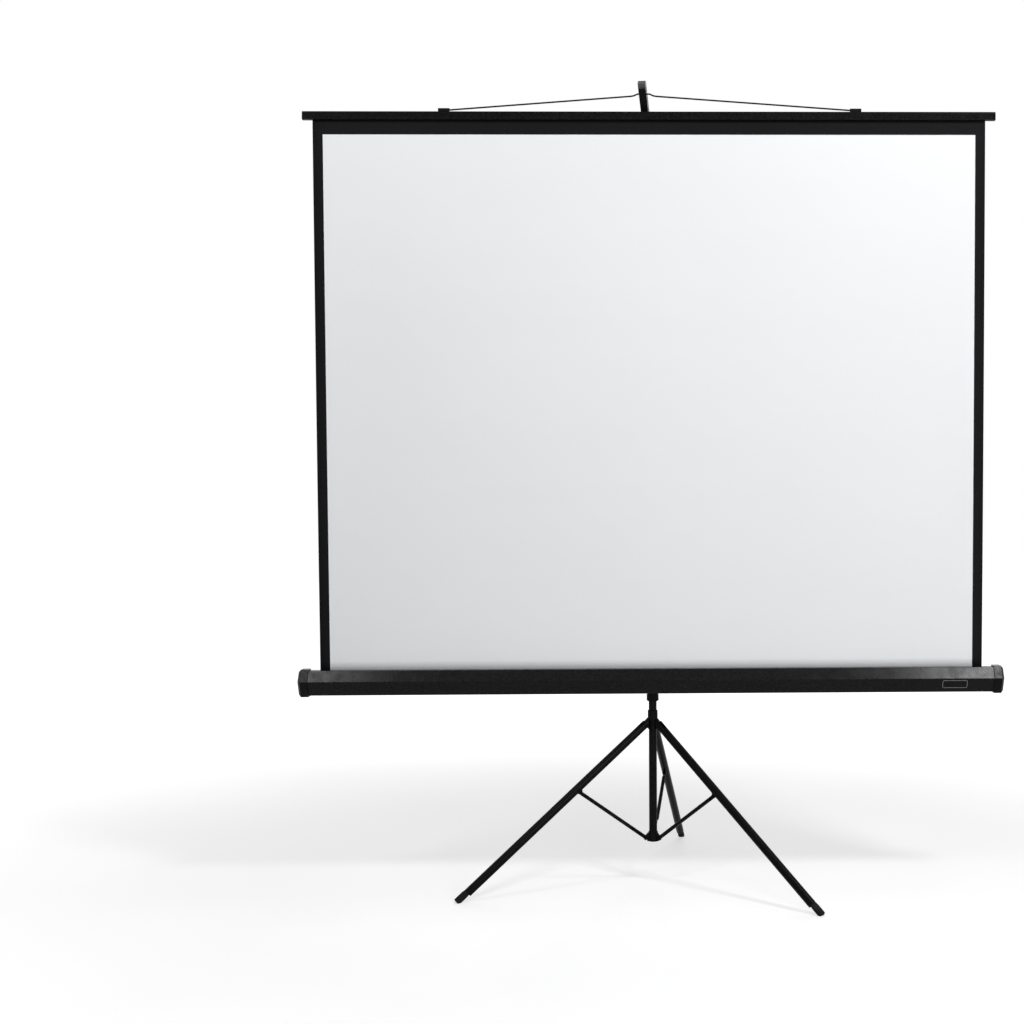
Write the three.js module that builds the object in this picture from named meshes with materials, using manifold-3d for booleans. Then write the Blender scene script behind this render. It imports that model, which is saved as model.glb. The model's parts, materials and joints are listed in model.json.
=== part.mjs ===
// Tripod projection screen, set up for use.
// Millimetres, +Z up, the viewing side faces -Y, and the case lies along X.
// The pieces are made about the mast axis, and the whole is then centred on its own footprint.

import * as THREE from "three";
import { mergeVertices } from "three/addons/utils/BufferGeometryUtils.js";
import Module from "manifold-3d";

const wasm = await Module();
wasm.setup();

// Fits
const GAP = 0.3;
const ROUND = 20;
const FINE = 10;
const DEG = Math.PI / 180;

// Mast
const COLUMN_RADIUS = 11;
const COLUMN_WALL = 1.2;
const COLUMN_LENGTH = 1146;
const MAST_TURN = -9 * DEG;
const ROD_RADIUS = 8.2;
const ROD_WALL = 1;
const ROD_LENGTH = 1150;
const LOCK_RADIUS = 15.5;
const LOCK_LENGTH = 62;
const LOCK_SEAT = 10;

// Tripod
const LEG_RADIUS = 11;
const LEG_WALL = 1.4;
const LEG_SPREAD = 50.4 * DEG;
const LEG_AXIS_LENGTH = 676;
const LEG_PIVOT_RADIUS = 24;
const LEG_PIN_RADIUS = 2.6;
const FOOT_REACH = 36;
const LEG_SLOT_DEPTH = 20;
const LEGS = { left: -150, right: -30, rear: 90 };
const FOOT_RADIUS = 9.6;
const FOOT_OFFSET = 2.5;
const FOOT_PLUG = 24;
const COLLAR_WALL = 2.4;
const COLLAR_BOTTOM = 13;
const COLLAR_TOP = 40;
const COLLAR_SKIRT = -12;
const COLLAR_SKIRT_WALL = 1.3;
const COLLAR_LUG = 6;
const COLLAR_LUG_RADIUS = 8;
const BRACE_STATION = 250;
const BRACE_OFFSET = 17;
const BRACE_LENGTH = 230.6;
const BRACE_PLATE = 3;
const BRACE_WIDTH = 10;
const BRACE_RADIUS = 5;
const BRACE_FLAT = 60;
const BRACE_FLAT_TOP = 13;
const BRACE_PIN_RADIUS = 2;
const BRACE_HUB_RADIUS = 20;
const TAB = 2;
const TAB_RADIUS = 5;
const TAB_FOOT = 9;
const HUB_WALL = 1.8;
const HUB_DEPTH = 27;
const HUB_FLOOR = 4;

// Case
const CASE_STAND = 128;
const CASE_BACK = -38;
const CASE_HALF_HEIGHT = 33;
const CASE_HALF_DEPTH = 31;
const CASE_FLAT = 13;
const CASE_RIDGE = 5;
const CASE_WALL = 1.2;
const CASE_MARGIN = 53;
const CAP_WALL = 3.4;
const CAP_LENGTH = 26;
const CAP_END = 6;
const CAP_CHAMFER = 6;
const CAP_INSET = 3;
const CAP_SKIN = 2;
const SADDLE_WIDTH = 84;
const SADDLE_HALF_HEIGHT = 26;
const SLOT_OFFSET = 9;
const SLOT_WIDTH = 6;

// Roller and fabric
const ROLLER_RADIUS = 16;
const ROLLER_WALL = 1;
const ROLLER_MARGIN = 11;
const PLUG_LENGTH = 30;
const AXLE_RADIUS = 4;
const SPRING_WIRE = 0.9;
const SPRING_TURNS = 16;
const SPRING_LENGTH = 320;
const SPRING_ROD_RADIUS = 5;
const FABRIC_WIDTH = 1778;
const FABRIC_THICKNESS = 0.5;
const ROLL_THICKNESS = 1.2;
const SCREEN_DROP = 1456;

// Top bar and bail
const BAR_MARGIN = 23;
const BAR_HEIGHT = 22;
const BAR_DEPTH = 14;
const BAR_WALL = 1.6;
const BAR_SLOT = 2.4;
const HEM_ROD_RADIUS = 3;
const BAIL_SPAN = 1110;
const BAIL_RISE = 47;
const BAIL_RADIUS = 2.2;
const HUMP_HALF = 32;
const HUMP_RISE = 6;
const CLIP_LENGTH = 30;

// Arm
const ARM_TILT = 40 * DEG;
const ARM_LENGTH = 220;
const ARM_NOTCH = 182;
const ARM_WIDTH = 20;
const ARM_DEPTH = 19;
const ARM_WALL = 1.6;
const NOTCH_WIDTH = 8;
const NOTCH_DEPTH = 7.5;
const ARM_PIN_RADIUS = 2.5;
const ARM_HOLES = 5;
const ARM_HOLE_RADIUS = 2.4;
const ARM_HOLE_START = 34;
const ARM_HOLE_PITCH = 27;

// Carriage
const CARRIAGE_WIDTH = 26;
const CARRIAGE_TOP = 72;
const CARRIAGE_BOTTOM = -62;
const CARRIAGE_FRONT = -21;
const CARRIAGE_BACK = 51;
const WINDOW_FRONT = -12;
const WINDOW_BACK = 31;
const WINDOW_TOP = 45;
const WINDOW_BOTTOM = -45;
const SLEEVE_RADIUS = 16.5;
const BOLT_RADIUS = 4;
const BOLT_HEAD = 7;
const BOLT_LENGTH = 34;
const LEVER_HALF = 9;
const LEVER_PIN_RADIUS = 2;
const LEVER_EYE = 4;
const LEVER_EAR = 3.6;
const LEVER_PLAY = 1.6;

// Finishes
const blackPaint = new THREE.MeshStandardMaterial({ color: 0x17181a, roughness: 0.42, metalness: 0.35 });
const blackPlastic = new THREE.MeshStandardMaterial({ color: 0x1c1d1f, roughness: 0.6, metalness: 0 });
const bluePlastic = new THREE.MeshStandardMaterial({ color: 0x1f4fb4, roughness: 0.35, metalness: 0 });
const rubber = new THREE.MeshStandardMaterial({ color: 0x101010, roughness: 0.85, metalness: 0 });
const fabric = new THREE.MeshStandardMaterial({ color: 0xe9ebee, roughness: 0.9, metalness: 0 });
const steel = new THREE.MeshStandardMaterial({ color: 0xa9acb0, roughness: 0.35, metalness: 0.9 });

// Solids
function solid(geometry) {
  const source = geometry.index ? geometry.toNonIndexed() : geometry;
  const bare = new THREE.BufferGeometry();
  bare.setAttribute("position", source.getAttribute("position"));
  const merged = mergeVertices(bare, 1e-4);
  const corners = merged.index.array;
  const kept = [];
  for (let i = 0; i < corners.length; i += 3) {
    const [a, b, c] = corners.slice(i, i + 3);
    if (a !== b && b !== c && c !== a) kept.push(a, b, c);
  }
  const vertProperties = merged.getAttribute("position").array;
  return new wasm.Manifold(new wasm.Mesh({ numProp: 3, vertProperties, triVerts: new Uint32Array(kept) }));
}

function surface(body) {
  const mesh = body.getMesh();
  const geometry = new THREE.BufferGeometry();
  geometry.setAttribute("position", new THREE.BufferAttribute(mesh.vertProperties, 3));
  geometry.setIndex(new THREE.BufferAttribute(mesh.triVerts, 1));
  return geometry;
}

function cut(body, ...tools) {
  return surface(tools.reduce((left, tool) => left.subtract(solid(tool)), solid(body)));
}

function join(...bodies) {
  return surface(bodies.map(solid).reduce((left, right) => left.add(right)));
}

function common(body, other) {
  return surface(solid(body).intersect(solid(other)));
}

// A flat outline given thickness; the outline's two axes and the thickness run along the named axes.
const PLANES = {
  yz: new THREE.Matrix4().makeBasis(
    new THREE.Vector3(0, 1, 0), new THREE.Vector3(0, 0, 1), new THREE.Vector3(1, 0, 0)),
  xz: new THREE.Matrix4().makeBasis(
    new THREE.Vector3(1, 0, 0), new THREE.Vector3(0, 0, 1), new THREE.Vector3(0, -1, 0)),
  xy: new THREE.Matrix4(),
};

function plate(plane, points, thickness) {
  const shape = new THREE.Shape(points.map(([a, b]) => new THREE.Vector2(a, b)));
  const geometry = new THREE.ExtrudeGeometry(shape, { depth: thickness, bevelEnabled: false });
  return geometry.translate(0, 0, -thickness / 2).applyMatrix4(PLANES[plane]);
}

function box(x0, x1, y0, y1, z0, z1) {
  const geometry = new THREE.BoxGeometry(x1 - x0, y1 - y0, z1 - z0);
  return geometry.translate((x0 + x1) / 2, (y0 + y1) / 2, (z0 + z1) / 2);
}

// A profile of [radius, height] points turned about Z.
function turned(points, segments = ROUND) {
  const profile = points.map(([r, z]) => new THREE.Vector2(r, z));
  return new THREE.LatheGeometry(profile, segments).rotateX(Math.PI / 2);
}

function rod(radius, z0, z1, segments = ROUND) {
  return turned([[0, z0], [radius, z0], [radius, z1], [0, z1]], segments);
}

function tube(outer, inner, z0, z1, segments = ROUND) {
  return turned([[inner, z0], [outer, z0], [outer, z1], [inner, z1], [inner, z0]], segments);
}

function rivet(radius, half, headRadius, headHeight) {
  const end = half + headHeight;
  return turned([
    [0, -end], [headRadius * 0.8, -end], [headRadius, -half - headHeight / 2], [headRadius, -half],
    [radius, -half], [radius, half],
    [headRadius, half], [headRadius, half + headHeight / 2], [headRadius * 0.8, end], [0, end],
  ], FINE);
}

function alongX(geometry) {
  return geometry.rotateY(Math.PI / 2);
}

function alongY(geometry) {
  return geometry.rotateX(Math.PI / 2);
}

function arc(x, y, radius, from, to, steps) {
  return Array.from({ length: steps + 1 }, (_, i) => {
    const angle = (from + ((to - from) * i) / steps) * DEG;
    return [x + radius * Math.cos(angle), y + radius * Math.sin(angle)];
  });
}

// A convex counter-clockwise outline moved outwards by a distance.
function outset(points, distance) {
  return points.map((point, i) => {
    const before = points[(i + points.length - 1) % points.length];
    const after = points[(i + 1) % points.length];
    const into = new THREE.Vector2(point[0] - before[0], point[1] - before[1]).normalize();
    const out = new THREE.Vector2(after[0] - point[0], after[1] - point[1]).normalize();
    const bisector = new THREE.Vector2(into.y + out.y, -into.x - out.x).normalize();
    const reach = distance / (bisector.x * into.y - bisector.y * into.x);
    return [point[0] + bisector.x * reach, point[1] + bisector.y * reach];
  });
}

// Outlines of equal length in the YZ plane, stacked along X and closed at both ends.
function stacked(sections) {
  const count = sections[0].points.length;
  const positions = sections.flatMap(({ x, points }) => points.flatMap(([y, z]) => [x, y, z]));
  const faces = [];
  for (let s = 0; s + 1 < sections.length; s += 1) {
    for (let i = 0; i < count; i += 1) {
      const a = s * count + i;
      const b = s * count + ((i + 1) % count);
      faces.push(a, b, a + count, b, b + count, a + count);
    }
  }
  const last = (sections.length - 1) * count;
  for (let i = 1; i + 1 < count; i += 1) {
    faces.push(0, i + 1, i, last, last + i, last + i + 1);
  }
  const geometry = new THREE.BufferGeometry();
  geometry.setAttribute("position", new THREE.Float32BufferAttribute(positions, 3));
  return geometry.setIndex(faces);
}

// A round wire through a row of points, with closed ends.
function wire(points, radius, sides) {
  const across = new THREE.Vector3(0, 1, 0);
  const sections = points.map((point, i) => {
    const before = points[Math.max(i - 1, 0)];
    const after = points[Math.min(i + 1, points.length - 1)];
    const along = new THREE.Vector3().subVectors(after, before).normalize();
    const side = across.addScaledVector(along, -across.dot(along)).normalize().clone();
    const up = new THREE.Vector3().crossVectors(along, side);
    return Array.from({ length: sides }, (_, k) => {
      const angle = (k / sides) * 2 * Math.PI;
      const spoke = side.clone().multiplyScalar(Math.cos(angle)).addScaledVector(up, Math.sin(angle));
      return spoke.multiplyScalar(radius).add(point);
    });
  });
  const faces = [];
  for (let s = 0; s + 1 < sections.length; s += 1) {
    for (let k = 0; k < sides; k += 1) {
      const a = s * sides + k;
      const b = s * sides + ((k + 1) % sides);
      faces.push(a, b, a + sides, b, b + sides, a + sides);
    }
  }
  const last = (sections.length - 1) * sides;
  for (let k = 1; k + 1 < sides; k += 1) {
    faces.push(0, k + 1, k, last, last + k, last + k + 1);
  }
  const geometry = new THREE.BufferGeometry().setFromPoints(sections.flat());
  return geometry.setIndex(faces);
}

// A band of even thickness along a row of points.
function band(points, thickness) {
  const sides = points.map(([x, y], i) => {
    const [x0, y0] = points[Math.max(i - 1, 0)];
    const [x1, y1] = points[Math.min(i + 1, points.length - 1)];
    const length = Math.hypot(x1 - x0, y1 - y0);
    const nx = (-(y1 - y0) / length) * (thickness / 2);
    const ny = ((x1 - x0) / length) * (thickness / 2);
    return [[x + nx, y + ny], [x - nx, y - ny]];
  });
  return [...sides.map((side) => side[0]), ...sides.map((side) => side[1]).reverse()];
}

const screen = new THREE.Group();
screen.name = "tripod_projection_screen";

function piece(parent, name, geometry, finish) {
  const mesh = new THREE.Mesh(geometry, finish);
  mesh.name = name;
  parent.add(mesh);
}

// Tripod linkage: the brace length and its seat on the leg set the height of the hub.
const legPivotHeight = LEG_AXIS_LENGTH * Math.cos(LEG_SPREAD);
const seatRadius =
  LEG_PIVOT_RADIUS + BRACE_STATION * Math.sin(LEG_SPREAD) - BRACE_OFFSET * Math.cos(LEG_SPREAD);
const seatHeight =
  legPivotHeight - BRACE_STATION * Math.cos(LEG_SPREAD) - BRACE_OFFSET * Math.sin(LEG_SPREAD);
const braceRun = seatRadius - BRACE_HUB_RADIUS;
const braceRise = Math.sqrt(BRACE_LENGTH ** 2 - braceRun ** 2);
const hubHeight = seatHeight - braceRise;
const braceLean = Math.atan2(braceRun, braceRise);
const caseHeight = legPivotHeight + CASE_STAND;

// Lengths along the case, each from the width of the sheet
const rollerLength = FABRIC_WIDTH + 2 * ROLLER_MARGIN;
const barLength = FABRIC_WIDTH + 2 * BAR_MARGIN;
const caseLength = FABRIC_WIDTH + 2 * CASE_MARGIN;

const mast = new THREE.Group();
mast.rotation.z = MAST_TURN;
screen.add(mast);

// Column and hub
const hubBottom = hubHeight - 10;
const columnBottom = hubBottom + HUB_FLOOR + GAP;
const columnTop = columnBottom + COLUMN_LENGTH;
const columnBore = COLUMN_RADIUS + GAP;
const hubRadius = columnBore + HUB_WALL;
const pinBore = BRACE_PIN_RADIUS + GAP;
const tabMiddle = BRACE_PLATE / 2 + GAP + TAB / 2;
const tabOuter = tabMiddle + TAB / 2;

piece(mast, "column_tube",
  tube(COLUMN_RADIUS, COLUMN_RADIUS - COLUMN_WALL, columnBottom, columnTop), blackPaint);

const hubCup = turned([
  [0, hubBottom], [hubRadius - 1.5, hubBottom], [hubRadius, hubBottom + 1.5],
  [hubRadius, hubBottom + HUB_DEPTH], [columnBore, hubBottom + HUB_DEPTH],
  [columnBore, hubBottom + HUB_FLOOR], [0, hubBottom + HUB_FLOOR],
]);
const hubLug = [
  [columnBore + 0.6, -9], [BRACE_HUB_RADIUS, -9], ...arc(BRACE_HUB_RADIUS, 0, 6.5, -60, 70, 6),
  [hubRadius + 1, 14], [columnBore + 0.6, 14],
];
const hubNotch = [
  ...arc(BRACE_HUB_RADIUS, 0, pinBore, 0, 180, 8),
  [BRACE_HUB_RADIUS - pinBore - 2, -14], [BRACE_HUB_RADIUS + pinBore, -14],
];
let hub = hubCup;
for (const angle of Object.values(LEGS)) {
  const turn = new THREE.Matrix4().makeRotationZ(angle * DEG).setPosition(0, 0, hubHeight);
  const lugs = [-tabMiddle, tabMiddle].map((y) => plate("xz", hubLug, TAB).translate(0, y, 0));
  const notch = plate("xz", hubNotch, 4 * tabOuter);
  hub = cut(join(hub, ...lugs.map((lug) => lug.applyMatrix4(turn))), notch.applyMatrix4(turn));
}
piece(mast, "lower_hub", hub, blackPlastic);

// Leg collar
const collarRadius = columnBore + COLLAR_WALL;
const skirtRadius = columnBore + COLLAR_SKIRT_WALL;
const lugRoot = columnBore + COLLAR_SKIRT_WALL / 2;
const collarLug = [
  [lugRoot, COLLAR_SKIRT + 1], ...arc(LEG_PIVOT_RADIUS, 0, COLLAR_LUG_RADIUS, 240, 395, 10),
  [collarRadius + 1, COLLAR_BOTTOM + 6], [lugRoot, COLLAR_BOTTOM + 9],
];
const collarBore = alongY(rod(LEG_PIN_RADIUS + GAP, -COLLAR_LUG, COLLAR_LUG, FINE));
let collar = turned([
  [columnBore, COLLAR_SKIRT], [skirtRadius, COLLAR_SKIRT], [skirtRadius, COLLAR_BOTTOM],
  [collarRadius, COLLAR_BOTTOM], [collarRadius, COLLAR_TOP - 1.5],
  [collarRadius - 1.5, COLLAR_TOP], [columnBore, COLLAR_TOP], [columnBore, COLLAR_SKIRT],
]);
for (const angle of Object.values(LEGS)) {
  const turn = new THREE.Matrix4().makeRotationZ(angle * DEG);
  const bore = collarBore.clone().translate(LEG_PIVOT_RADIUS, 0, 0);
  const lug = cut(plate("xz", collarLug, COLLAR_LUG), bore);
  collar = join(collar, lug.applyMatrix4(turn));
}
piece(mast, "leg_collar", collar.translate(0, 0, legPivotHeight), blackPlastic);

// Legs, feet and braces
const legTubeLength = LEG_AXIS_LENGTH - FOOT_REACH;
const legSlot = COLLAR_LUG / 2 + GAP;
const legOutline = [
  [-LEG_RADIUS - 1, -legTubeLength - 1], [LEG_RADIUS + 1, -legTubeLength - 1],
  [LEG_RADIUS + 1, 0], ...arc(0, 0, LEG_RADIUS, 0, 180, 12), [-LEG_RADIUS - 1, 0],
];
const legBody = cut(
  common(
    tube(LEG_RADIUS, LEG_RADIUS - LEG_WALL, -legTubeLength, LEG_RADIUS + 1),
    plate("xz", legOutline, 2 * LEG_RADIUS + 2),
  ),
  box(-LEG_RADIUS - 2, LEG_RADIUS + 2, -legSlot, legSlot, -LEG_SLOT_DEPTH, LEG_RADIUS + 2),
  alongY(rod(LEG_PIN_RADIUS + GAP, -LEG_RADIUS - 1, LEG_RADIUS + 1, FINE)),
);
const legTab = [
  [-LEG_RADIUS + 1, -BRACE_STATION - TAB_FOOT], [-LEG_RADIUS + 1, -BRACE_STATION + TAB_FOOT],
  ...arc(-BRACE_OFFSET, -BRACE_STATION, TAB_RADIUS, 70, 290, 10),
];
const leg = cut(
  join(
    legBody,
    plate("xz", legTab, TAB).translate(0, tabMiddle, 0),
    plate("xz", legTab, TAB).translate(0, -tabMiddle, 0),
  ),
  alongY(rod(pinBore, -LEG_RADIUS, LEG_RADIUS, FINE)).translate(-BRACE_OFFSET, 0, -BRACE_STATION),
);
const bootTop = -legTubeLength - GAP;
const bootTip = -LEG_AXIS_LENGTH - 1;
const plugRadius = LEG_RADIUS - LEG_WALL - GAP;
const boot = turned([
  [0, bootTip], [FOOT_RADIUS - 1.8, bootTip], [FOOT_RADIUS, bootTip + 2.2],
  [FOOT_RADIUS, bootTop - 10], [FOOT_RADIUS - 1, bootTop], [0, bootTop],
]).translate(FOOT_OFFSET, 0, 0);
const foot = cut(
  join(boot, rod(plugRadius, bootTop - GAP, bootTop + FOOT_PLUG))
    .rotateY(-LEG_SPREAD).translate(LEG_PIVOT_RADIUS, 0, legPivotHeight),
  box(0, 2 * LEG_AXIS_LENGTH, -2 * FOOT_RADIUS, 2 * FOOT_RADIUS, -4 * FOOT_RADIUS, 0),
);
const braceOutline = [
  ...arc(0, 0, BRACE_WIDTH / 2, 180, 360, 8),
  ...arc(0, BRACE_LENGTH, BRACE_WIDTH / 2, 0, 180, 8),
];
const brace = cut(
  join(
    plate("xz", braceOutline, BRACE_PLATE),
    rod(BRACE_RADIUS, BRACE_FLAT, BRACE_LENGTH - BRACE_FLAT_TOP, FINE),
  ),
  alongY(rod(pinBore, -10, 10, FINE)),
  alongY(rod(pinBore, -10, 10, FINE)).translate(0, 0, BRACE_LENGTH),
);
const legPin = alongY(rivet(LEG_PIN_RADIUS, LEG_RADIUS + GAP, 4.6, 1.8));
const bracePin = alongY(rivet(BRACE_PIN_RADIUS, tabOuter + GAP, 3.4, 1.3));
const seatPin = bracePin.clone().translate(-BRACE_OFFSET, 0, -BRACE_STATION);

for (const [side, angle] of Object.entries(LEGS)) {
  const around = new THREE.Group();
  around.rotation.z = angle * DEG;
  mast.add(around);
  const swung = new THREE.Group();
  swung.position.set(LEG_PIVOT_RADIUS, 0, legPivotHeight);
  swung.rotation.y = -LEG_SPREAD;
  const strut = new THREE.Group();
  strut.position.set(BRACE_HUB_RADIUS, 0, hubHeight);
  strut.rotation.y = braceLean;
  around.add(swung, strut);
  piece(swung, `leg_${side}`, leg, blackPaint);
  piece(swung, `leg_pin_${side}`, legPin, blackPaint);
  piece(swung, `brace_leg_pin_${side}`, seatPin, blackPaint);
  piece(around, `foot_${side}`, foot, rubber);
  piece(strut, `brace_${side}`, brace, blackPaint);
  piece(strut, `brace_hub_pin_${side}`, bracePin, blackPaint);
}

// Heights of the screen, from the case up to the arm hinge
const caseMiddle = CASE_BACK - CASE_HALF_DEPTH;
const caseTop = caseHeight + CASE_HALF_HEIGHT;
const barBottom = caseTop + SCREEN_DROP;
const barTop = barBottom + BAR_HEIGHT;
const bailHeight = barTop + BAIL_RISE;
const bailSkew = (ARM_WIDTH / 2) * Math.tan(Math.abs(MAST_TURN)) * Math.cos(ARM_TILT);
const notchFloor = ARM_DEPTH / 2 - NOTCH_DEPTH + GAP + BAIL_RADIUS + bailSkew;
const hingeHeight = bailHeight - ARM_NOTCH * Math.cos(ARM_TILT) - notchFloor * Math.sin(ARM_TILT);
const notchReach = ARM_NOTCH * Math.sin(ARM_TILT) - notchFloor * Math.cos(ARM_TILT);
const bailMiddle = notchReach * Math.sin(MAST_TURN);
const barMiddle = -notchReach * Math.cos(MAST_TURN);

// Lock, rod and arm
const lockInner = ROD_RADIUS + GAP;
const lockTop = LOCK_LENGTH - LOCK_SEAT;
piece(mast, "rod_lock", turned([
  [columnBore, -LOCK_SEAT], [LOCK_RADIUS - 1.5, -LOCK_SEAT], [LOCK_RADIUS, -LOCK_SEAT + 1.5],
  [LOCK_RADIUS, lockTop * 0.45], [LOCK_RADIUS - 1, lockTop * 0.66], [LOCK_RADIUS - 3, lockTop * 0.85],
  [LOCK_RADIUS - 5, lockTop * 0.96], [lockInner + 1, lockTop], [lockInner, lockTop],
  [lockInner, GAP], [columnBore, GAP], [columnBore, -LOCK_SEAT],
]).translate(0, 0, columnTop), bluePlastic);

const rodTop = hingeHeight - 15;
const rodBottom = rodTop - ROD_LENGTH;
const rodInner = ROD_RADIUS - ROD_WALL;
piece(mast, "extension_rod", tube(ROD_RADIUS, rodInner, rodBottom, rodTop), blackPaint);

const guideRadius = COLUMN_RADIUS - COLUMN_WALL - GAP;
piece(mast, "rod_guide", turned([
  [0, -20], [guideRadius - 1, -20], [guideRadius, -19], [guideRadius, -GAP],
  [rodInner - GAP, -GAP], [rodInner - GAP, 20], [0, 20],
]).translate(0, 0, rodBottom), blackPlastic);

const headHalf = ARM_WIDTH / 2 - ARM_WALL - GAP;
const headOutline = [[-6.5, -13], [6.5, -13], ...arc(0, 0, 6.5, 0, 180, 10)];
const armPinBore = alongX(rod(ARM_PIN_RADIUS + GAP, -ARM_WIDTH, ARM_WIDTH, FINE));
const rodHead = cut(
  join(
    plate("yz", headOutline, 2 * headHalf),
    rod(ROD_RADIUS, -15 + GAP, -12),
    rod(rodInner - GAP, -40, -14),
  ),
  armPinBore,
);
piece(mast, "rod_head", rodHead.translate(0, 0, hingeHeight), steel);

const arm = new THREE.Group();
arm.position.z = hingeHeight;
arm.rotation.x = ARM_TILT;
mast.add(arm);
const armHalf = ARM_DEPTH / 2;
const webInner = -armHalf + ARM_WALL;
const armInner = ARM_WIDTH - 2 * ARM_WALL;
const armOutline = [
  ...arc(0, 0, armHalf, 180, 360, 12),
  [armHalf, ARM_LENGTH - 6], [armHalf - 6, ARM_LENGTH],
  [-armHalf + 3, ARM_LENGTH], [-armHalf, ARM_LENGTH - 3],
];
const armHoles = Array.from({ length: ARM_HOLES }, (_, k) =>
  alongX(rod(ARM_HOLE_RADIUS, -ARM_WIDTH, ARM_WIDTH, FINE))
    .translate(0, 2, ARM_HOLE_START + ARM_HOLE_PITCH * k));
const armBody = cut(
  plate("yz", armOutline, ARM_WIDTH),
  box(-armInner / 2, armInner / 2, webInner, ARM_DEPTH, -ARM_DEPTH, ARM_LENGTH - 2),
  box(-armInner / 2, armInner / 2, -ARM_DEPTH, webInner + 1, -ARM_DEPTH, 10),
  box(-ARM_WIDTH, ARM_WIDTH, armHalf - NOTCH_DEPTH, ARM_DEPTH,
    ARM_NOTCH - NOTCH_WIDTH / 2, ARM_NOTCH + NOTCH_WIDTH / 2),
  armPinBore,
  ...armHoles,
);
piece(arm, "keystone_arm", armBody, blackPaint);
const armPin = alongX(rivet(ARM_PIN_RADIUS, ARM_WIDTH / 2 + GAP, 4.5, 1.8));
piece(mast, "arm_pin", armPin.translate(0, 0, hingeHeight), steel);

// Carriage with its handle, release plate and pivot
const slide = new THREE.Group();
slide.position.z = caseHeight;
screen.add(slide);
const carriageOutline = [
  [CARRIAGE_FRONT, CARRIAGE_BOTTOM + 3], [CARRIAGE_FRONT + 3, CARRIAGE_BOTTOM],
  [CARRIAGE_BACK - 14, CARRIAGE_BOTTOM], [CARRIAGE_BACK, CARRIAGE_BOTTOM + 14],
  [CARRIAGE_BACK, CARRIAGE_TOP - 10], [CARRIAGE_BACK - 10, CARRIAGE_TOP],
  [CARRIAGE_FRONT + 3, CARRIAGE_TOP], [CARRIAGE_FRONT, CARRIAGE_TOP - 3],
];
const windowOutline = [
  [WINDOW_FRONT, WINDOW_BOTTOM], [WINDOW_BACK - 9, WINDOW_BOTTOM], [WINDOW_BACK, WINDOW_BOTTOM + 9],
  [WINDOW_BACK, WINDOW_TOP - 9], [WINDOW_BACK - 9, WINDOW_TOP], [WINDOW_FRONT, WINDOW_TOP],
];
const leverAxisDepth = CARRIAGE_FRONT + 4;
const leverAxisHeight = CARRIAGE_TOP + 7;
const earOutline = [
  [CARRIAGE_FRONT, CARRIAGE_TOP - 4], [CARRIAGE_FRONT + 8, CARRIAGE_TOP - 4],
  ...arc(leverAxisDepth, leverAxisHeight, LEVER_EYE, 0, 180, 8),
];
const earMiddle = LEVER_HALF + GAP + LEVER_EAR / 2;
const leverPinBore = alongX(rod(LEVER_PIN_RADIUS + GAP, -40, 40, FINE))
  .translate(0, leverAxisDepth, leverAxisHeight);
const carriage = cut(
  join(
    cut(plate("yz", carriageOutline, CARRIAGE_WIDTH), plate("yz", windowOutline, 2 * CARRIAGE_WIDTH)),
    rod(SLEEVE_RADIUS, WINDOW_TOP, CARRIAGE_TOP),
    rod(SLEEVE_RADIUS, CARRIAGE_BOTTOM, WINDOW_BOTTOM),
    plate("yz", earOutline, LEVER_EAR).translate(earMiddle, 0, 0),
    plate("yz", earOutline, LEVER_EAR).translate(-earMiddle, 0, 0),
  ),
  rod(columnBore, CARRIAGE_BOTTOM - 5, CARRIAGE_TOP + 30),
  alongY(rod(BOLT_RADIUS + GAP, 0, BOLT_LENGTH + 6)),
  alongY(rod(BOLT_HEAD + GAP, 5, -WINDOW_FRONT + 4.6)),
  leverPinBore,
);
piece(slide, "carriage", carriage, blackPlastic);

const leverSide = [
  [LEVER_HALF, leverAxisDepth], [LEVER_HALF, -12.4], [15.5, -6], [15.5, 8], [12, 20], [12, 54], [9, 58],
];
const leverOutline = [...leverSide, ...leverSide.map(([x, y]) => [-x, y]).reverse()];
const lever = cut(
  join(
    plate("xy", leverOutline, 3).translate(0, 0, leverAxisHeight),
    alongX(rod(LEVER_EYE, -LEVER_HALF, LEVER_HALF, 12)).translate(0, leverAxisDepth, leverAxisHeight),
    box(-11, 11, 54, 58, leverAxisHeight - 5, leverAxisHeight),
  ),
  rod(COLUMN_RADIUS + LEVER_PLAY, 0, 2 * leverAxisHeight),
  leverPinBore,
);
piece(slide, "lock_lever", lever, blackPlastic);
const leverPin = alongX(rivet(LEVER_PIN_RADIUS, earMiddle + LEVER_EAR / 2 + GAP, 3.4, 1.4));
piece(slide, "lever_pin", leverPin.translate(0, leverAxisDepth, leverAxisHeight), steel);

const boltHead = -WINDOW_FRONT + GAP;
const saddleBack = CARRIAGE_FRONT - GAP;
piece(slide, "pivot_bolt", alongY(turned([
  [0, boltHead], [BOLT_HEAD, boltHead], [BOLT_HEAD, boltHead + 4], [BOLT_RADIUS, boltHead + 4],
  [BOLT_RADIUS, BOLT_LENGTH], [0, BOLT_LENGTH],
])), steel);

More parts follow.
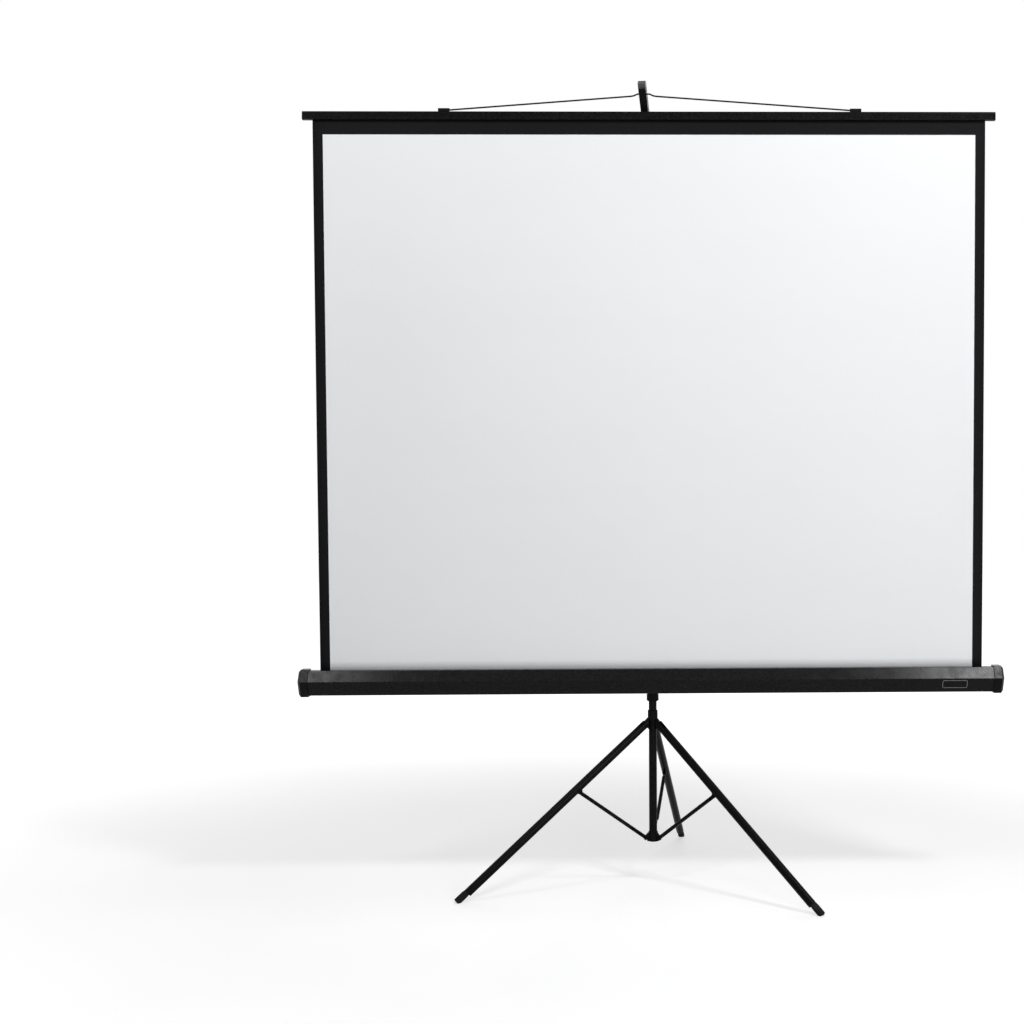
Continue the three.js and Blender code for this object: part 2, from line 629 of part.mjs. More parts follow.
// Case, saddle and end caps
const house = new THREE.Group();
house.position.set(0, caseMiddle, caseHeight);
screen.add(house);
const caseOutline = [
  [CASE_FLAT, CASE_HALF_HEIGHT], [-CASE_FLAT, CASE_HALF_HEIGHT], [-CASE_HALF_DEPTH, CASE_RIDGE],
  [-CASE_FLAT, -CASE_HALF_HEIGHT], [CASE_FLAT, -CASE_HALF_HEIGHT], [CASE_HALF_DEPTH, CASE_RIDGE],
];
const shellLength = caseLength - 2 * (CAP_END + GAP);
const slotFront = SLOT_OFFSET - SLOT_WIDTH / 2;
const slotBack = SLOT_OFFSET + SLOT_WIDTH / 2;
piece(house, "case_shell", cut(
  plate("yz", caseOutline, shellLength),
  plate("yz", outset(caseOutline, -CASE_WALL), shellLength + 2),
  box(-shellLength, shellLength, slotFront, slotBack, CASE_HALF_HEIGHT / 2, 2 * CASE_HALF_HEIGHT),
), blackPaint);

const saddleDepth = saddleBack - caseMiddle;
const saddleOutline = [
  [CASE_FLAT - 3, -SADDLE_HALF_HEIGHT], [saddleDepth - 3, -SADDLE_HALF_HEIGHT],
  [saddleDepth, -SADDLE_HALF_HEIGHT + 6], [saddleDepth, SADDLE_HALF_HEIGHT - 6],
  [saddleDepth - 3, SADDLE_HALF_HEIGHT], [CASE_FLAT - 3, SADDLE_HALF_HEIGHT],
];
piece(house, "case_saddle", cut(
  plate("yz", saddleOutline, SADDLE_WIDTH),
  plate("yz", outset(caseOutline, GAP), SADDLE_WIDTH + 6),
  alongY(rod(BOLT_RADIUS + GAP, -saddleDepth - 1, -CASE_HALF_DEPTH - 2)),
), blackPlastic);

const capOutline = outset(caseOutline, GAP + CAP_WALL);
const capInside = caseLength / 2 - CAP_LENGTH;
for (const [side, sign] of [["left", -1], ["right", 1]]) {
  const shape = cut(
    stacked([
      { x: capInside, points: capOutline },
      { x: caseLength / 2 - CAP_CHAMFER, points: capOutline },
      { x: caseLength / 2, points: outset(caseOutline, -CAP_INSET) },
    ]),
    plate("yz", outset(caseOutline, GAP), 2 * (caseLength / 2 - CAP_END)),
    alongX(rod(AXLE_RADIUS + GAP, 0, caseLength / 2 - CAP_SKIN)),
  );
  if (sign < 0) shape.rotateZ(Math.PI);
  piece(house, `end_cap_${side}`, shape, blackPlastic);
}

// Roller, spring and fabric
const rollerInner = ROLLER_RADIUS - ROLLER_WALL;
const rollerEnd = rollerLength / 2;
const plugFlange = 4;
const axleEnd = caseLength / 2 - CAP_SKIN - GAP;
const axleInside = rollerEnd - PLUG_LENGTH - 14;
piece(house, "roller_tube", alongX(tube(ROLLER_RADIUS, rollerInner, -rollerEnd, rollerEnd)), steel);
for (const [side, sign] of [["left", -1], ["right", 1]]) {
  const plug = turned([
    [AXLE_RADIUS + GAP, rollerEnd - PLUG_LENGTH], [rollerInner - GAP, rollerEnd - PLUG_LENGTH],
    [rollerInner - GAP, rollerEnd + GAP], [ROLLER_RADIUS, rollerEnd + GAP],
    [ROLLER_RADIUS, rollerEnd + plugFlange], [AXLE_RADIUS + GAP, rollerEnd + plugFlange],
    [AXLE_RADIUS + GAP, rollerEnd - PLUG_LENGTH],
  ]);
  const axle = rod(AXLE_RADIUS, axleInside, axleEnd, FINE);
  const turn = sign < 0 ? Math.PI : 0;
  piece(house, `roller_plug_${side}`, alongX(plug).rotateZ(turn), blackPlastic);
  piece(house, `axle_${side}`, alongX(axle).rotateZ(turn), steel);
}
const springStart = -rollerEnd + PLUG_LENGTH + 4;
piece(house, "spring_rod", alongX(turned([
  [AXLE_RADIUS + GAP, springStart - 2], [SPRING_ROD_RADIUS + 1, springStart - 2],
  [SPRING_ROD_RADIUS + 1, springStart + SPRING_LENGTH + 10], [0, springStart + SPRING_LENGTH + 10],
  [0, -axleInside + GAP], [AXLE_RADIUS + GAP, -axleInside + GAP], [AXLE_RADIUS + GAP, springStart - 2],
], FINE)), steel);
const coilRadius = SPRING_ROD_RADIUS + 1 + GAP + SPRING_WIRE;
const coil = Array.from({ length: SPRING_TURNS * 10 + 1 }, (_, i) => {
  const angle = (i / 10) * 2 * Math.PI;
  const x = springStart + (SPRING_LENGTH * i) / (SPRING_TURNS * 10);
  return new THREE.Vector3(x, coilRadius * Math.cos(angle), coilRadius * Math.sin(angle));
});
piece(house, "roller_spring", wire(coil, SPRING_WIRE, 5), steel);

const rollInner = ROLLER_RADIUS + GAP;
const rollOuter = rollInner + ROLL_THICKNESS;
piece(house, "fabric_roll",
  alongX(tube(rollOuter, rollInner, -FABRIC_WIDTH / 2, FABRIC_WIDTH / 2, 28)), fabric);

// The sheet leaves the back of the roll, passes the slot and leans forward to the bar.
const windRadius = rollOuter + GAP + FABRIC_THICKNESS / 2;
const lip = [SLOT_OFFSET, CASE_HALF_HEIGHT];
const lipAngle = Math.atan2(lip[1], lip[0]) / DEG;
const leaveAngle = lipAngle - Math.acos(windRadius / Math.hypot(...lip)) / DEG;
const hemHeight = BAR_WALL + 2 + GAP + HEM_ROD_RADIUS;
const barOffset = barMiddle - caseMiddle;
const sheetTop = barBottom - caseHeight;
const sheetPath = [
  ...arc(0, 0, windRadius, leaveAngle - 330, leaveAngle, 26),
  lip,
  [barOffset, sheetTop - 2],
  [barOffset, sheetTop + hemHeight - HEM_ROD_RADIUS - GAP],
];
piece(house, "screen_fabric", plate("yz", band(sheetPath, FABRIC_THICKNESS), FABRIC_WIDTH), fabric);

// Top bar with its hem rod, caps, clips and bail
const top = new THREE.Group();
top.position.set(0, barMiddle, barBottom);
screen.add(top);
const barHalf = BAR_DEPTH / 2;
const barOutline = [
  [-barHalf, 0], [barHalf, 0], [barHalf, BAR_HEIGHT - 5], [barHalf - 3, BAR_HEIGHT],
  [-barHalf + 3, BAR_HEIGHT], [-barHalf, BAR_HEIGHT - 5],
];
const grooveFloor = BAR_WALL + 2;
const grooveHalf = barHalf - BAR_WALL;
const grooveOutline = [
  [-grooveHalf, grooveFloor], [grooveHalf, grooveFloor], [grooveHalf, BAR_HEIGHT - 6],
  [grooveHalf - 2, BAR_HEIGHT - BAR_WALL], [-grooveHalf + 2, BAR_HEIGHT - BAR_WALL],
  [-grooveHalf, BAR_HEIGHT - 6],
];
piece(top, "top_bar", cut(
  plate("yz", barOutline, barLength),
  plate("yz", grooveOutline, barLength + 2),
  box(-barLength, barLength, -BAR_SLOT / 2, BAR_SLOT / 2, -1, grooveFloor + 1),
), blackPaint);
const hemRod = alongX(rod(HEM_ROD_RADIUS, -FABRIC_WIDTH / 2, FABRIC_WIDTH / 2, 12));
piece(top, "hem_rod", hemRod.translate(0, 0, hemHeight), blackPlastic);

const capThickness = 3;
const clipAxis = GAP + 4.2;
const clipOutline = [
  [-5, GAP], [5, GAP], [5, GAP + 2], [3.6, GAP + 7.4], [2, GAP + 8.6],
  [-2, GAP + 8.6], [-3.6, GAP + 7.4], [-5, GAP + 2],
];
const bailEnd = BAIL_SPAN / 2;
for (const [side, sign] of [["left", -1], ["right", 1]]) {
  const turn = sign < 0 ? Math.PI : 0;
  const cap = join(
    plate("yz", barOutline, capThickness).translate((barLength + capThickness) / 2 + GAP, 0, 0),
    plate("yz", outset(grooveOutline, -GAP), 14).translate(barLength / 2 - 6, 0, 0),
  );
  piece(top, `bar_cap_${side}`, cap.rotateZ(turn), blackPlastic);
  const clip = cut(
    plate("yz", clipOutline, CLIP_LENGTH).translate(bailEnd - CLIP_LENGTH / 2 + 4, 0, 0),
    alongX(rod(BAIL_RADIUS + GAP, 0, bailEnd + GAP, FINE)).translate(0, 0, clipAxis),
  );
  piece(top, `bail_clip_${side}`, clip.translate(0, 0, BAR_HEIGHT).rotateZ(turn), blackPlastic);
}
const bailLow = BAR_HEIGHT + clipAxis;
const bailTop = BAR_HEIGHT + BAIL_RISE;
const bailFoot = [[0, 0], [CLIP_LENGTH - 2, 0], [CLIP_LENGTH + 4, 0.5]];
const bailHump = [[1, 1], [0.78, 0.73], [0.53, 0.1], [0.4, 0]];
const bailPath = [
  ...bailFoot.map(([x, z]) => [x - bailEnd, bailLow + z]),
  ...bailHump.map(([x, z]) => [bailMiddle - x * HUMP_HALF, bailTop - z * HUMP_RISE]),
  ...bailHump.map(([x, z]) => [bailMiddle + x * HUMP_HALF, bailTop - z * HUMP_RISE]).reverse(),
  ...bailFoot.map(([x, z]) => [bailEnd - x, bailLow + z]).reverse(),
];
piece(top, "bail_wire",
  wire(bailPath.map(([x, z]) => new THREE.Vector3(x, 0, z)), BAIL_RADIUS, FINE), steel);

// The origin is on the floor below the middle of the whole.
screen.updateMatrixWorld(true);
const middle = new THREE.Box3().setFromObject(screen, true).getCenter(new THREE.Vector3());
screen.children.forEach((child) => {
  child.position.x -= middle.x;
  child.position.y -= middle.y;
});

export default screen;
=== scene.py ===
import json
import math

import bmesh
import bpy
from mathutils import Matrix, Vector


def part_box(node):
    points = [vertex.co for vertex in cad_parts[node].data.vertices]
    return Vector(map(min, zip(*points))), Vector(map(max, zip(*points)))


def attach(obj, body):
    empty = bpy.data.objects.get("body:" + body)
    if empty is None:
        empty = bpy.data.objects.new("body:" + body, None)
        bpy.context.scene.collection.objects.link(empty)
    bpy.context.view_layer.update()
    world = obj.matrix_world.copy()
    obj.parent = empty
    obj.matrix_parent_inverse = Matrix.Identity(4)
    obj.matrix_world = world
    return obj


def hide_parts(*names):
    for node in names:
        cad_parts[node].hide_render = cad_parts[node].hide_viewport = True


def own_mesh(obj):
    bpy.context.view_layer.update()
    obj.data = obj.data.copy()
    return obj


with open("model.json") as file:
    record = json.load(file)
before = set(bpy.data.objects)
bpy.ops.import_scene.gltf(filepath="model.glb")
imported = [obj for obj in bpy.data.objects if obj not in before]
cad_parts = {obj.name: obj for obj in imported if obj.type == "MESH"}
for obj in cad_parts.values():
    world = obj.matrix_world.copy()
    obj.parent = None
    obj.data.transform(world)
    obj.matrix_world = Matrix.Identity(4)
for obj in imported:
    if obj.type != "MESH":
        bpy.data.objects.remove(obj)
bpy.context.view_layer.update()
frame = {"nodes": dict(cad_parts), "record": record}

scene = bpy.context.scene
scene.view_settings.view_transform = "Standard"


# Camera, at the height and distance of the photograph: metres, radians (yaw, pitch, roll) and pixels
CAMERA_PLACE = Vector((0.0148, -4.1674, 1.0602))
CAMERA_TURN = (0.0189, -0.01219, -0.0036)
CAMERA_FOCUS = 1492.8
CAMERA_SHIFT = -0.1695
PICTURE_WIDTH = 1024
SENSOR_WIDTH = 36
FARTHEST = 60


def add_camera():
    data = bpy.data.cameras.new("camera")
    camera = bpy.data.objects.new("camera", data)
    scene.collection.objects.link(camera)
    yaw, pitch, roll = CAMERA_TURN
    level = math.cos(pitch)
    ahead = Vector((math.sin(yaw) * level, math.cos(yaw) * level, math.sin(pitch)))
    side = ahead.cross(Vector((0, 0, 1))).normalized()
    up = side.cross(ahead)
    right = math.cos(roll) * side + math.sin(roll) * up
    top = math.cos(roll) * up - math.sin(roll) * side
    facing = Matrix((right, top, -ahead)).transposed().to_4x4()
    camera.matrix_world = Matrix.Translation(CAMERA_PLACE) @ facing
    data.sensor_width = SENSOR_WIDTH
    data.lens = CAMERA_FOCUS / PICTURE_WIDTH * SENSOR_WIDTH
    data.shift_x = CAMERA_SHIFT
    data.clip_end = FARTHEST
    scene.camera = camera


add_camera()


# Materials
NOISE_LOW = 0.3
NOISE_HIGH = 0.7
EDGE_POINTINESS = (0.53, 0.62)
BLACK_SHINE = 0.045
# Grey of the painted highlight on the arm's lit tip
TIP_HIGHLIGHT_GREY = (0.15, 0.15, 0.155, 1)
BARE_EDGE = (0.06, 0.06, 0.062, 1)
WORN_GAIN = 3
WORN_LIFT = 0.02
# How fast the arm's painted highlight fades in, and how far below the arm's top it starts
TIP_HIGHLIGHT_FADE = 0.006
TIP_HIGHLIGHT_REACH = 0.022
WEAVE_SCALE = 350.0


class Nodes:
    """A material's node tree with a principled shader, in object coordinates or UV metres."""

    def __init__(self, name, uv=False):
        self.material = bpy.data.materials.new(name)
        self.material.use_nodes = True
        self.tree = self.material.node_tree
        self.shader = self.tree.nodes["Principled BSDF"]
        coordinates = self.tree.nodes.new("ShaderNodeTexCoord")
        self.place = coordinates.outputs["UV" if uv else "Object"]

    def add(self, kind, inputs=(), **settings):
        node = self.tree.nodes.new("ShaderNode" + kind)
        for key, value in settings.items():
            setattr(node, key, value)
        for key, value in dict(inputs).items():
            if isinstance(value, bpy.types.NodeSocket):
                self.tree.links.new(value, node.inputs[key])
            else:
                node.inputs[key].default_value = value
        return node

    def noise(self, scale, detail=3.0, stretch=(1, 1, 1)):
        place = self.add("Mapping", {"Vector": self.place, "Scale": stretch}).outputs["Vector"]
        return self.add("TexNoise", {"Vector": place, "Scale": scale, "Detail": detail}).outputs["Fac"]

    def ramp(self, factor, low, high):
        node = self.add("ValToRGB", {"Fac": factor})
        first, last = node.color_ramp.elements
        first.position = NOISE_LOW
        first.color = (*low, 1)
        last.position = NOISE_HIGH
        last.color = (*high, 1)
        return node.outputs["Color"]

    def between(self, value, start, end, low=0.0, high=1.0, **settings):
        inputs = {"Value": value, "From Min": start, "From Max": end, "To Min": low, "To Max": high}
        return self.add("MapRange", inputs, **settings).outputs["Result"]

    def spread(self, factor, low, high):
        return self.between(factor, NOISE_LOW, NOISE_HIGH, low, high)

    def mix(self, factor, first, second):
        return self.add("MixRGB", {"Fac": factor, "Color1": first, "Color2": second}).outputs["Color"]

    def product(self, first, second):
        node = self.add("Math", {0: first, 1: second}, operation="MULTIPLY", use_clamp=True)
        return node.outputs["Value"]

    def worn_edges(self, amount):
        point = self.add("NewGeometry").outputs["Pointiness"]
        edge = self.between(point, *EDGE_POINTINESS)
        return self.product(edge, self.spread(self.noise(140, detail=4), 0.0, amount))

    def bump(self, height, strength, distance):
        node = self.add("Bump", {"Height": height, "Strength": strength, "Distance": distance})
        self.link("Normal", node.outputs["Normal"])

    def link(self, socket, value):
        self.tree.links.new(value, self.shader.inputs[socket])

    def set(self, **values):
        for key, value in values.items():
            self.shader.inputs[key.replace("_", " ")].default_value = value
        return self.material


def satin_paint(name, dark, light, rough, shine=BLACK_SHINE):
    n = Nodes(name)
    tone = n.ramp(n.noise(9, detail=5), dark, light)
    wear = n.worn_edges(0.4)
    n.link("Base Color", n.mix(wear, tone, BARE_EDGE))
    n.link("Roughness", n.spread(n.noise(40, detail=4), rough - 0.05, rough + 0.05))
    n.bump(n.noise(900, detail=2), strength=0.05, distance=0.0002)
    return n.set(Metallic=0.0, Specular_IOR_Level=shine)


def painted_highlight_tip_paint(name, start):
    """Black paint turning grey above a height: a painted highlight for the lit tip of the arm."""
    n = Nodes(name)
    height = n.add("SeparateXYZ", {"Vector": n.place}).outputs["Z"]
    above = n.between(height, start, start + TIP_HIGHLIGHT_FADE)
    tip_highlight = n.product(above, n.spread(n.noise(260, detail=4), 0.35, 1.0))
    tone = n.ramp(n.noise(9, detail=5), (0.004, 0.004, 0.0043), (0.0065, 0.0065, 0.007))
    # The painted highlight's grey is mixed over the black above the height
    n.link("Base Color", n.mix(tip_highlight, tone, TIP_HIGHLIGHT_GREY))
    n.link("Roughness", n.spread(n.noise(40, detail=4), 0.32, 0.46))
    n.bump(n.noise(900, detail=2), strength=0.05, distance=0.0002)
    return n.set(Metallic=0.0, Specular_IOR_Level=BLACK_SHINE)


def moulded(name, dark, light, rough, grain, shine=BLACK_SHINE):
    n = Nodes(name)
    tone = n.ramp(n.noise(14, detail=4), dark, light)
    wear = n.worn_edges(0.35)
    worn = tuple(WORN_GAIN * c + WORN_LIFT for c in light)
    n.link("Base Color", n.mix(wear, tone, (*worn, 1)))
    n.link("Roughness", n.spread(n.noise(45, detail=4), rough - 0.06, rough + 0.08))
    n.bump(n.noise(grain, detail=3), strength=0.2, distance=0.0003)
    return n.set(Metallic=0.0, Specular_IOR_Level=shine)


def drawn_steel(name):
    n = Nodes(name)
    lines = n.noise(120, detail=5, stretch=(1, 14, 14))
    n.link("Base Color", n.ramp(lines, (0.30, 0.31, 0.32), (0.46, 0.47, 0.48)))
    n.link("Roughness", n.spread(lines, 0.26, 0.44))
    n.bump(lines, strength=0.15, distance=0.0002)
    return n.set(Metallic=1.0)


def rubber(name):
    n = Nodes(name)
    tone = n.ramp(n.noise(25, detail=5), (0.006, 0.006, 0.006), (0.014, 0.0135, 0.013))
    n.link("Base Color", tone)
    n.link("Roughness", n.spread(n.noise(70, detail=4), 0.72, 0.92))
    n.bump(n.noise(450, detail=3), strength=0.4, distance=0.0006)
    return n.set(Metallic=0.0, Specular_IOR_Level=0.12)


def woven(name, dark, light, rough, depth):
    """A plain weave, 0.9 mm a thread, with slow cloudy tone and faint level bands across the sheet."""
    n = Nodes(name, uv=True)
    cloud = n.noise(1.6, detail=5)
    bands = n.noise(9, detail=3, stretch=(0.05, 1, 1))
    n.link("Base Color", n.mix(0.3, n.ramp(cloud, dark, light), n.ramp(bands, dark, light)))
    along = {"Vector": n.place, "Scale": WEAVE_SCALE}
    warp = n.add("TexWave", along, bands_direction="X").outputs["Fac"]
    weft = n.add("TexWave", along, bands_direction="Y").outputs["Fac"]
    thread = n.product(warp, weft)
    n.link("Roughness", n.spread(n.noise(220, detail=3), rough - 0.05, rough + 0.05))
    n.bump(thread, strength=depth, distance=0.0002)
    return n.set(Metallic=0.0, Specular_IOR_Level=0.12)


PAINT = satin_paint(
    "satin_black_paint", dark=(0.0013, 0.0013, 0.0015), light=(0.0028, 0.0028, 0.0031),
    rough=0.28,
)
CASE_PAINT = satin_paint(
    "case_paint", dark=(0.001, 0.001, 0.0012), light=(0.0022, 0.0022, 0.0025),
    rough=0.2, shine=0.1,
)
PLASTIC = moulded(
    "black_moulding", dark=(0.0018, 0.0018, 0.002), light=(0.004, 0.004, 0.0043),
    rough=0.44, grain=700,
)
CAP_PLASTIC = moulded(
    "cap_moulding", dark=(0.0014, 0.0014, 0.0016), light=(0.003, 0.003, 0.0033),
    rough=0.24, grain=700, shine=0.08,
)
BLUE = moulded(
    "blue_moulding", dark=(0.012, 0.06, 0.36), light=(0.022, 0.095, 0.48),
    rough=0.3, grain=500, shine=0.45,
)
STEEL = drawn_steel("drawn_steel")
RUBBER = rubber("foot_rubber")
WHITE = woven(
    "sheet_face", dark=(0.845, 0.86, 0.878), light=(0.872, 0.884, 0.9),
    rough=0.88, depth=0.3,
)
BORDER = woven(
    "sheet_border", dark=(0.0028, 0.0028, 0.0034), light=(0.006, 0.006, 0.007),
    rough=0.8, depth=0.3,
)
BACKING = woven(
    "sheet_backing", dark=(0.012, 0.012, 0.013), light=(0.02, 0.02, 0.021),
    rough=0.82, depth=0.3,
)
BLACK_WIRE = satin_paint(
    "wire_paint", dark=(0.006, 0.006, 0.0064), light=(0.012, 0.012, 0.0125),
    rough=0.3,
)
# The arm's top gets a painted highlight, grey above a height near its tip
ARM_PAINT = painted_highlight_tip_paint("arm_paint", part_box("keystone_arm")[1][2] - TIP_HIGHLIGHT_REACH)
BADGE_RIM = satin_paint(
    "badge_rim", dark=(0.15, 0.15, 0.155), light=(0.23, 0.23, 0.24),
    rough=0.36, shine=0.4,
)
BADGE_FACE = moulded(
    "badge_face", dark=(0.004, 0.004, 0.0045), light=(0.007, 0.007, 0.0075),
    rough=0.28, grain=600, shine=0.08,
)

SLOT_LOOK = {
    "black_paint": PAINT,
    "black_plastic": PLASTIC,
    "blue_plastic": BLUE,
    "rubber": RUBBER,
    "screen_fabric": BORDER,
    "steel": STEEL,
}
NODE_LOOK = {
    "case_shell": CASE_PAINT,
    "end_cap_left": CAP_PLASTIC,
    "end_cap_right": CAP_PLASTIC,
    "bail_wire": BLACK_WIRE,
    "keystone_arm": ARM_PAINT,
}

# Broken edges, in metres; the fine ones suit pieces whose short edges fold over under a wider bevel
USUAL_EDGE = 0.0004
FINE_EDGE = 0.00015
EDGE_SOFTENING = {
    "case_shell": 0.0012,
    "rod_head": FINE_EDGE,
    "lower_hub": FINE_EDGE,
    "leg_right": FINE_EDGE,
}
WELD_DISTANCE = 0.00002
SHARP_ANGLE = math.radians(34)
EDGE_SEGMENTS = 2
NORMAL_WEIGHT = 100


def dress(node, look, soften):
    """A CAD node gets its finish, smooth curved faces and slightly broken edges."""
    thing = frame["nodes"][node]
    thing.data.materials.clear()
    thing.data.materials.append(look)
    for face in thing.data.polygons:
        face.use_smooth = True
    weld = thing.modifiers.new("weld", "WELD")
    weld.merge_threshold = WELD_DISTANCE
    edge = thing.modifiers.new("edge", "BEVEL")
    edge.width = soften
    edge.segments = EDGE_SEGMENTS
    edge.limit_method = "ANGLE"
    edge.angle_limit = SHARP_ANGLE
    edge.use_clamp_overlap = soften > FINE_EDGE
    normals = thing.modifiers.new("normals", "WEIGHTED_NORMAL")
    normals.mode = "FACE_AREA"
    normals.weight = NORMAL_WEIGHT


for part in frame["record"]["subparts"]:
    name = part["node"]
    look = NODE_LOOK.get(name, SLOT_LOOK[part["material_slot"]])
    dress(name, look, EDGE_SOFTENING.get(name, USUAL_EDGE))


# Screen sheet: a tensioned cloth with printed black edges and a dark back
def mesh_piece(name, mesh, body):
    piece = bpy.data.objects.new(name, mesh)
    scene.collection.objects.link(piece)
    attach(piece, body)
    return piece


# Metres: the printed edges, the cloth, the slot behind the case's middle,
# and where the cloth starts in the slot and ends in the bar
SIDE_BORDER = 0.0264
TOP_BORDER = 0.0405
CLOTH = 0.0005
SLOT_BEHIND = 0.009
SLOT_SEAT = Vector((0, 0.0006, -0.012))
BAR_SEAT = Vector((0, 0, 0.0025))
# The grid of the mesh, and the slack of the cloth
COLUMNS = 48
ROWS = 40
BORDER_ROWS = 2
SAME_HEIGHT = 1e-6
WAVE_DEPTH = 0.0011
WAVE_ACROSS = 7.1
WAVE_UP = 2.3
CURL_DEPTH = 0.0045
CURL_START = 0.72
CURL_WIDTH = 0.17
FACE_LOOK, BORDER_LOOK, BACK_LOOK = range(3)
case_low, case_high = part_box("case_shell")
bar_low, bar_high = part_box("top_bar")
cloth_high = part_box("screen_fabric")[1]
case_middle = (case_low[1] + case_high[1]) / 2
SLOT_POINT = Vector((0, case_middle + SLOT_BEHIND, case_high[2]))
BAR_POINT = Vector((0, (bar_low[1] + bar_high[1]) / 2, bar_low[2]))


def spaced(start, end, count):
    return [start + (end - start) * i / count for i in range(count + 1)]


def stand_off(x, t):
    """How far the cloth leaves its plane: a slow wave, and sides that curl forward."""
    loose = math.sin(math.pi * t)
    wave = WAVE_DEPTH * math.sin(WAVE_ACROSS * x + WAVE_UP * t) * loose
    curl = -CURL_DEPTH * loose * max(0.0, (abs(x) - CURL_START) / CURL_WIDTH) ** 2
    return wave + curl


def sheet_mesh():
    half = cloth_high[0]
    lower = SLOT_POINT + SLOT_SEAT
    upper = BAR_POINT + BAR_SEAT
    tall = (upper - lower).length
    white_top = tall - TOP_BORDER
    xs = [-half] + spaced(-half + SIDE_BORDER, half - SIDE_BORDER, COLUMNS) + [half]
    vs = spaced(0, white_top, ROWS) + spaced(white_top, tall, BORDER_ROWS)[1:]
    last_i, last_j = len(xs) - 1, len(vs) - 1
    mesh = bpy.data.meshes.new("projection_sheet")
    built = bmesh.new()
    uv = built.loops.layers.uv.new("UVMap")
    layers = []
    for side in (-1, 1):
        rows = []
        for v in vs:
            t = v / tall
            row = []
            for x in xs:
                shift = Vector((x, stand_off(x, t) + side * CLOTH / 2, 0))
                row.append(built.verts.new(lower.lerp(upper, t) + shift))
            rows.append(row)
        layers.append(rows)

    def face(corners, places, look):
        made = built.faces.new(corners)
        made.material_index = look
        made.smooth = True
        for loop, place in zip(made.loops, places):
            loop[uv].uv = place

    front, back = layers
    for rows in layers:
        for j in range(last_j):
            for i in range(last_i):
                ring = [(i, j), (i + 1, j), (i + 1, j + 1), (i, j + 1)]
                printed = i in (0, last_i - 1) or vs[j] >= white_top - SAME_HEIGHT
                look = BORDER_LOOK if printed else FACE_LOOK
                if rows is back:
                    ring.reverse()
                    look = BACK_LOOK
                face([rows[b][a] for a, b in ring], [(xs[a], vs[b]) for a, b in ring], look)
    for j in range(last_j):
        for i, order in ((0, 1), (last_i, -1)):
            ring = [front[j][i], front[j + 1][i], back[j + 1][i], back[j][i]][::order]
            face(ring, [(xs[i], vs[j])] * 4, BORDER_LOOK)
    for i in range(last_i):
        for j, order in ((0, -1), (last_j, 1)):
            ring = [front[j][i], front[j][i + 1], back[j][i + 1], back[j][i]][::order]
            face(ring, [(xs[i], vs[j])] * 4, BORDER_LOOK)
    bmesh.ops.recalc_face_normals(built, faces=built.faces)
    built.to_mesh(mesh)
    built.free()
    for look in (WHITE, BORDER, BACKING):
        mesh.materials.append(look)
    return mesh, 2 * half, tall


mesh, sheet_width, sheet_length = sheet_mesh()
sheet = mesh_piece("projection_sheet", mesh, "case")
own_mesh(sheet)
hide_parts("screen_fabric")


# Blank badge with a raised rim, on the lower front face of the case near its right end
BADGE_ACROSS = 0.81
BADGE_DOWN = 0.41
BADGE_SIZE = (0.067, 0.0235)
BADGE_CORNER = 0.005
BADGE_RIM_WIDTH = 0.0014
BADGE_FOOT_LIFT = 0.00008
BADGE_RIM_LIFT = 0.0009
BADGE_FIELD_LIFT = 0.0005
CORNER_STEPS = 6
# The case's front ridge above its bottom, and half of the flat bottom
RIDGE_HEIGHT = 0.038
HALF_BOTTOM = 0.013


def rounded_outline(width, height, radius):
    points = []
    for k, (sx, sy) in enumerate(((1, 1), (-1, 1), (-1, -1), (1, -1))):
        for step in range(CORNER_STEPS + 1):
            angle = math.radians(90 * k + 90 / CORNER_STEPS * step)
            points.append((sx * (width / 2 - radius) + radius * math.cos(angle),
                           sy * (height / 2 - radius) + radius * math.sin(angle)))
    return points


def badge_mesh():
    ridge = Vector((0, case_low[1], case_low[2] + RIDGE_HEIGHT))
    foot = Vector((0, case_middle - HALF_BOTTOM, case_low[2]))
    down = (foot - ridge).normalized()
    across = Vector((1, 0, 0))
    out = across.cross(-down)
    middle = ridge.lerp(foot, BADGE_DOWN) + across * BADGE_ACROSS
    trim = 2 * BADGE_RIM_WIDTH
    whole = rounded_outline(*BADGE_SIZE, BADGE_CORNER)
    width, height = (length - trim for length in BADGE_SIZE)
    field = rounded_outline(width, height, BADGE_CORNER - BADGE_RIM_WIDTH)
    profile = (
        (whole, BADGE_FOOT_LIFT),
        (whole, BADGE_RIM_LIFT),
        (field, BADGE_RIM_LIFT),
        (field, BADGE_FIELD_LIFT),
    )
    built = bmesh.new()
    rings = []
    for outline, lift in profile:
        points = [middle + across * a - down * b + out * lift for a, b in outline]
        rings.append([built.verts.new(point) for point in points])
    for lower, upper in zip(rings, rings[1:]):
        for i in range(len(whole)):
            k = (i + 1) % len(whole)
            built.faces.new((lower[i], lower[k], upper[k], upper[i]))
    built.faces.new(rings[0][::-1])
    built.faces.new(rings[-1]).material_index = 1
    bmesh.ops.recalc_face_normals(built, faces=built.faces)
    mesh = bpy.data.meshes.new("badge_plate")
    built.to_mesh(mesh)
    built.free()
    mesh.materials.append(BADGE_RIM)
    mesh.materials.append(BADGE_FACE)
    return mesh


mesh_piece("badge_plate", badge_mesh(), "case")


# Floor, white background and light; the floor glows to white between two distances from the mast
FLOOR_HALF = 14
GLOW_REACH = (0.9, 3.6)
GLOW_LEVEL = (0.56, 0.95)
WORLD_LIGHT = 0.17
WORLD_WHITE = 1.0


def stage_plane(name, corners, look):
    mesh = bpy.data.meshes.new(name)
    mesh.from_pydata(corners, [], [(0, 1, 2, 3)])
    mesh.materials.append(look)
    thing = bpy.data.objects.new(name, mesh)
    scene.collection.objects.link(thing)


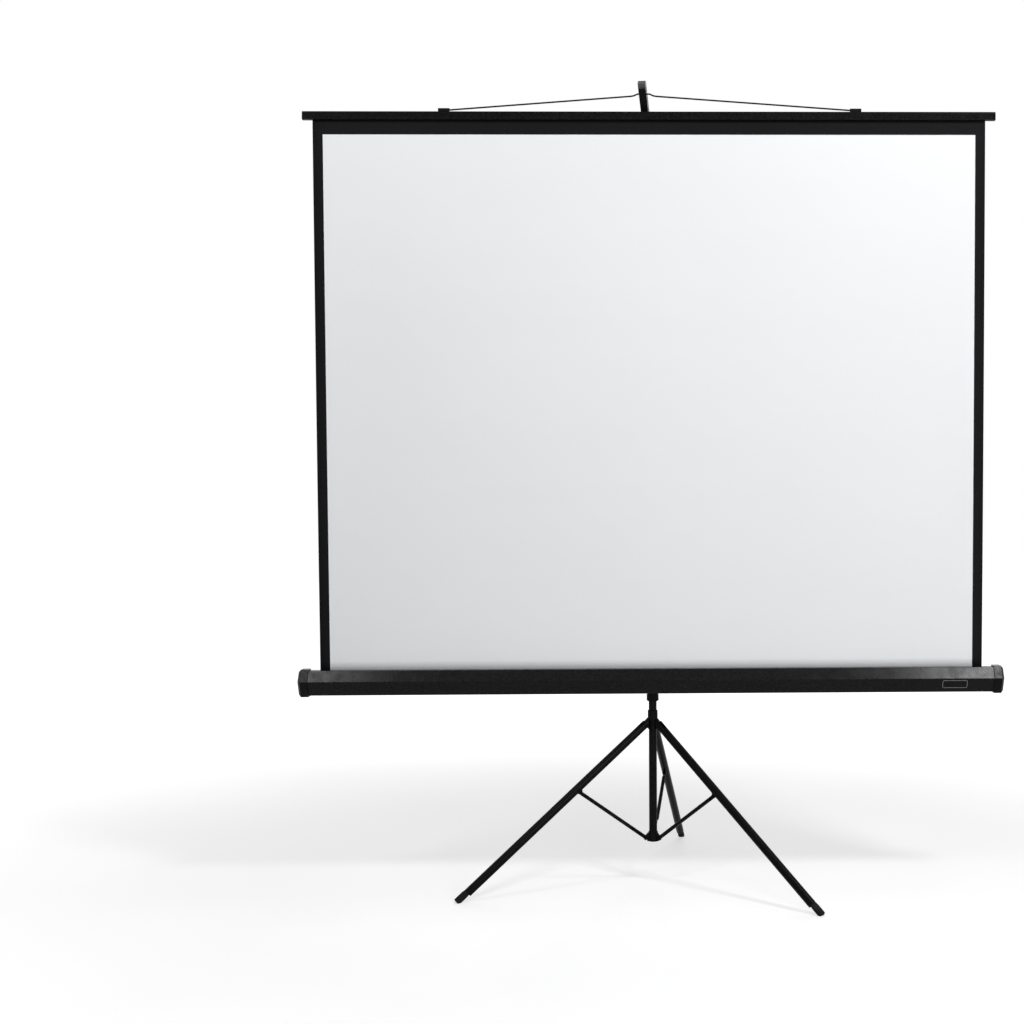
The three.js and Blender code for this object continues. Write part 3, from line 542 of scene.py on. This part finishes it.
def background_rays(tree):
    """1 for the rays that show the background: to the camera, mirrored, or through a clear piece."""
    path = tree.nodes.new("ShaderNodeLightPath")
    seen = path.outputs["Is Camera Ray"]
    for ray in ("Is Glossy Ray", "Is Transmission Ray"):
        either = tree.nodes.new("ShaderNodeMath")
        either.operation = "MAXIMUM"
        tree.links.new(seen, either.inputs[0])
        tree.links.new(path.outputs[ray], either.inputs[1])
        seen = either.outputs["Value"]
    return seen


def pale_floor():
    n = Nodes("pale_floor")
    n.link("Base Color", n.ramp(n.noise(1.5, detail=3), (0.52, 0.52, 0.52), (0.56, 0.56, 0.56)))
    away = n.add("VectorMath", {0: n.place}, operation="LENGTH").outputs["Value"]
    level = n.between(away, *GLOW_REACH, *GLOW_LEVEL, interpolation_type="SMOOTHSTEP")
    n.link("Emission Strength", n.product(background_rays(n.tree), level))
    return n.set(Roughness=0.9, Emission_Color=(1, 1, 1, 1), Specular_IOR_Level=0.1)


CORNERS = ((-1, -1), (1, -1), (1, 1), (-1, 1))
stage_plane("floor", [(x * FLOOR_HALF, y * FLOOR_HALF, 0) for x, y in CORNERS], pale_floor())


def add_world():
    world = bpy.data.worlds.new("studio")
    scene.world = world
    world.use_nodes = True
    tree = world.node_tree
    shade = tree.nodes["Background"]
    level = tree.nodes.new("ShaderNodeMapRange")
    tree.links.new(background_rays(tree), level.inputs["Value"])
    level.inputs["To Min"].default_value = WORLD_LIGHT
    level.inputs["To Max"].default_value = WORLD_WHITE
    tree.links.new(level.outputs["Result"], shade.inputs["Strength"])
    shade.inputs["Color"].default_value = (1, 1, 1, 1)


def add_area(name, place, aim, size, power):
    data = bpy.data.lights.new(name, "AREA")
    data.energy = power
    data.size = size
    lamp = bpy.data.objects.new(name, data)
    scene.collection.objects.link(lamp)
    lamp.location = place
    lamp.rotation_euler = (Vector(aim) - Vector(place)).to_track_quat("-Z", "Y").to_euler()


add_world()
add_area("key", place=(1.85, -2.2, 3.9), aim=(0.2, -0.1, 1.1), size=0.7, power=66)
add_area("fill", place=(-1.8, -1.9, 3.3), aim=(-0.2, -0.1, 1.1), size=0.62, power=20)
add_area("front", place=(1.6, -4.4, 1.3), aim=(0, 0, 1.1), size=1.2, power=74)
add_area("back", place=(0.5, 3.6, 3.2), aim=(0, 0, 1.0), size=3.0, power=60)
